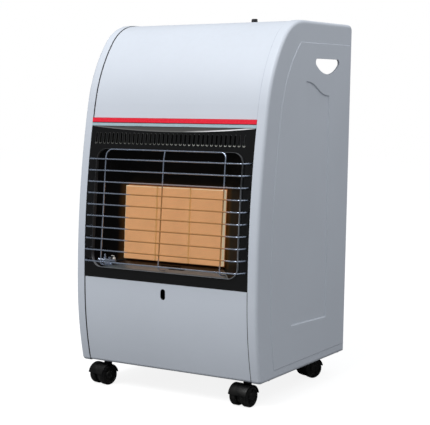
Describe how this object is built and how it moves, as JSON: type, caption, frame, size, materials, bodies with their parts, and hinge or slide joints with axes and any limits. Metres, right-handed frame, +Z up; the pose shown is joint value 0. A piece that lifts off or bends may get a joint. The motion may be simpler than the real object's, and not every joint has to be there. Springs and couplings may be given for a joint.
{
  "type": "portable gas cabinet heater",
  "caption": "Radiant gas cabinet heater with curved steel case, wire-guarded burner mouth, top control knob, lift-off rear cover and swivel castors.",
  "frame": {"origin": "on the floor, under the middle of the whole heater", "axes": "+Z up, the burner mouth faces -Y, +X to the right of someone who looks at the heater"},
  "size_m": [0.42, 0.424, 0.7365],
  "materials": {
    "silver_paint": "satin",
    "black_enamel": "gloss",
    "red_trim": "gloss",
    "pale_trim": "satin",
    "galvanised_steel": "satin",
    "reflector_steel": "gloss",
    "tray_steel": "gloss",
    "burner_ceramic": "matte",
    "burner_casing": "satin",
    "chrome_wire": "gloss",
    "brass": "satin",
    "valve_alloy": "satin",
    "aluminium_tube": "satin",
    "copper": "satin",
    "lead_sleeve": "matte",
    "white_ceramic": "gloss",
    "probe_steel": "satin",
    "knob_plastic": "satin",
    "dial_plate": "satin",
    "spring_steel": "satin",
    "castor_plastic": "satin",
    "wheel_plastic": "satin",
    "zinc_steel": "satin"
  },
  "bodies": {
    "cabinet": {"base_plate": "galvanised_steel", "burner_bracket_bottom": "galvanised_steel", "burner_bracket_top": "galvanised_steel", "burner_housing_left": "burner_casing", "burner_housing_middle": "burner_casing", "burner_housing_right": "burner_casing", "burner_pipe_left": "aluminium_tube", "burner_pipe_middle": "aluminium_tube", "burner_pipe_right": "aluminium_tube", "burner_plaque_left": "burner_ceramic", "burner_plaque_middle": "burner_ceramic", "burner_plaque_right": "burner_ceramic", "castor_sockets": "zinc_steel", "dial_plate": "dial_plate", "fascia": "black_enamel", "firebox": "reflector_steel", "heat_shield": "galvanised_steel", "hose_nozzle": "brass", "ignition_lead": "lead_sleeve", "injector_left": "brass", "injector_middle": "brass", "injector_rail": "galvanised_steel", "injector_right": "brass", "knob_return_spring": "spring_steel", "left_side_panel": "silver_paint", "lower_front_panel": "silver_paint", "pale_trim_strip": "pale_trim", "pilot_burner": "probe_steel", "pilot_pipe": "aluminium_tube", "red_trim_strip": "red_trim", "reflector_tray": "tray_steel", "right_side_panel": "silver_paint", "screws": "zinc_steel", "spark_electrode": "white_ceramic", "thermocouple": "probe_steel", "thermocouple_lead": "copper", "top_panel": "silver_paint", "valve_body": "valve_alloy", "valve_bracket": "galvanised_steel", "wire_guard": "chrome_wire"},
    "rear_cover": {"rear_cover": "silver_paint"},
    "plunger": {"valve_plunger": "valve_alloy"},
    "knob": {"control_knob": "knob_plastic", "knob_spindle": "valve_alloy"},
    "front_left_castor": {"front_left_castor_hood": "castor_plastic", "front_left_castor_axle": "zinc_steel"},
    "front_left_left_wheel": {"front_left_castor_left_wheel": "wheel_plastic"},
    "front_left_right_wheel": {"front_left_castor_right_wheel": "wheel_plastic"},
    "front_right_castor": {"front_right_castor_hood": "castor_plastic", "front_right_castor_axle": "zinc_steel"},
    "front_right_left_wheel": {"front_right_castor_left_wheel": "wheel_plastic"},
    "front_right_right_wheel": {"front_right_castor_right_wheel": "wheel_plastic"},
    "rear_left_castor": {"rear_left_castor_hood": "castor_plastic", "rear_left_castor_axle": "zinc_steel"},
    "rear_left_left_wheel": {"rear_left_castor_left_wheel": "wheel_plastic"},
    "rear_left_right_wheel": {"rear_left_castor_right_wheel": "wheel_plastic"},
    "rear_right_castor": {"rear_right_castor_hood": "castor_plastic", "rear_right_castor_axle": "zinc_steel"},
    "rear_right_left_wheel": {"rear_right_castor_left_wheel": "wheel_plastic"},
    "rear_right_right_wheel": {"rear_right_castor_right_wheel": "wheel_plastic"}
  },
  "joints": [
    {"name": "front_left_swivel", "type": "hinge", "parent": "cabinet", "child": "front_left_castor", "pos_m": [-0.164, -0.15099, 0.0506], "axis": [0, 0, 1], "continuous": true},
    {"name": "front_left_left_roll", "type": "hinge", "parent": "front_left_castor", "child": "front_left_left_wheel", "pos_m": [-0.1667, -0.1637, 0.02], "axis": [0.9781, -0.2079, 0], "continuous": true},
    {"name": "front_left_right_roll", "type": "hinge", "parent": "front_left_castor", "child": "front_left_right_wheel", "pos_m": [-0.1667, -0.1637, 0.02], "axis": [0.9781, -0.2079, 0], "continuous": true},
    {"name": "front_right_swivel", "type": "hinge", "parent": "cabinet", "child": "front_right_castor", "pos_m": [0.164, -0.15099, 0.0506], "axis": [0, 0, 1], "continuous": true},
    {"name": "front_right_left_roll", "type": "hinge", "parent": "front_right_castor", "child": "front_right_left_wheel", "pos_m": [0.16264, -0.16391, 0.02], "axis": [0.9945, -0.1045, 0], "continuous": true},
    {"name": "front_right_right_roll", "type": "hinge", "parent": "front_right_castor", "child": "front_right_right_wheel", "pos_m": [0.16264, -0.16391, 0.02], "axis": [0.9945, -0.1045, 0], "continuous": true},
    {"name": "rear_left_swivel", "type": "hinge", "parent": "cabinet", "child": "rear_left_castor", "pos_m": [-0.164, 0.12101, 0.0506], "axis": [0, 0, 1], "continuous": true},
    {"name": "rear_left_left_roll", "type": "hinge", "parent": "rear_left_castor", "child": "rear_left_left_wheel", "pos_m": [-0.16536, 0.10809, 0.02], "axis": [0.9945, -0.1045, 0], "continuous": true},
    {"name": "rear_left_right_roll", "type": "hinge", "parent": "rear_left_castor", "child": "rear_left_right_wheel", "pos_m": [-0.16536, 0.10809, 0.02], "axis": [0.9945, -0.1045, 0], "continuous": true},
    {"name": "rear_right_swivel", "type": "hinge", "parent": "cabinet", "child": "rear_right_castor", "pos_m": [0.164, 0.12101, 0.0506], "axis": [0, 0, 1], "continuous": true},
    {"name": "rear_right_left_roll", "type": "hinge", "parent": "rear_right_castor", "child": "rear_right_left_wheel", "pos_m": [0.1579, 0.10954, 0.02], "axis": [0.8829, -0.4695, 0], "continuous": true},
    {"name": "rear_right_right_roll", "type": "hinge", "parent": "rear_right_castor", "child": "rear_right_right_wheel", "pos_m": [0.1579, 0.10954, 0.02], "axis": [0.8829, -0.4695, 0], "continuous": true},
    {"name": "knob_push", "type": "slide", "parent": "cabinet", "child": "plunger", "axis": [0, 0, -1], "range_m": [0, 0.005], "stiffness_N_per_m": 1200, "springref_m": -0.004, "deforming": ["knob_return_spring"]},
    {"name": "knob_turn", "type": "hinge", "parent": "plunger", "child": "knob", "pos_m": [0.034, 0.09502, 0.7126], "axis": [0, 0, 1], "range_deg": [0, 230]},
    {"name": "rear_cover_pull", "type": "slide", "parent": "cabinet", "child": "rear_cover", "axis": [0, 0.9993, -0.0384], "range_m": [0, 0.35]}
  ]
}
